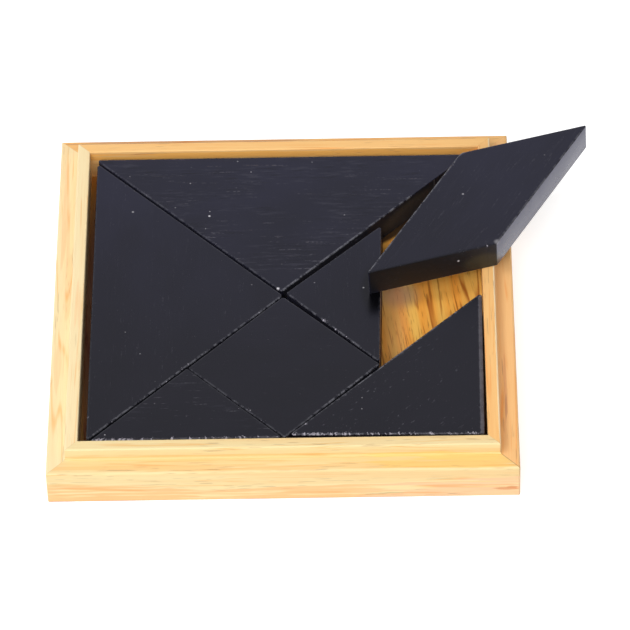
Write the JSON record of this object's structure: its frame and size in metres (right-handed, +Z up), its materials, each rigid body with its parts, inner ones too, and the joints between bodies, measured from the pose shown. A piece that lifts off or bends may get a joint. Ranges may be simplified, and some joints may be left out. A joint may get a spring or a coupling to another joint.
{
  "type": "tangram puzzle",
  "caption": "Square moulded wooden tray holding a black dissection puzzle, its parallelogram lifted out and laid on the rim over the empty bay.",
  "frame": {"origin": "middle of the tray's underside", "axes": "+Z up out of the tray, +X to the right and +Y to the back as the picture shows it"},
  "size_m": [0.1644, 0.14, 0.0273],
  "materials": {
    "rail_wood": "satin lacquered pale hardwood",
    "panel_wood": "satin lacquered hardwood with dark streaks",
    "black_stained_wood": "black stained open-pored wood, satin"
  },
  "bodies": {
    "root": {"base_panel": "panel_wood", "rail_front": "rail_wood", "rail_right": "rail_wood", "rail_back": "rail_wood", "rail_left": "rail_wood", "large_triangle_left": "black_stained_wood", "large_triangle_back": "black_stained_wood", "small_triangle_right": "black_stained_wood", "square_piece": "black_stained_wood", "small_triangle_front": "black_stained_wood", "medium_triangle": "black_stained_wood", "parallelogram": "black_stained_wood"}
  },
  "joints": []
}
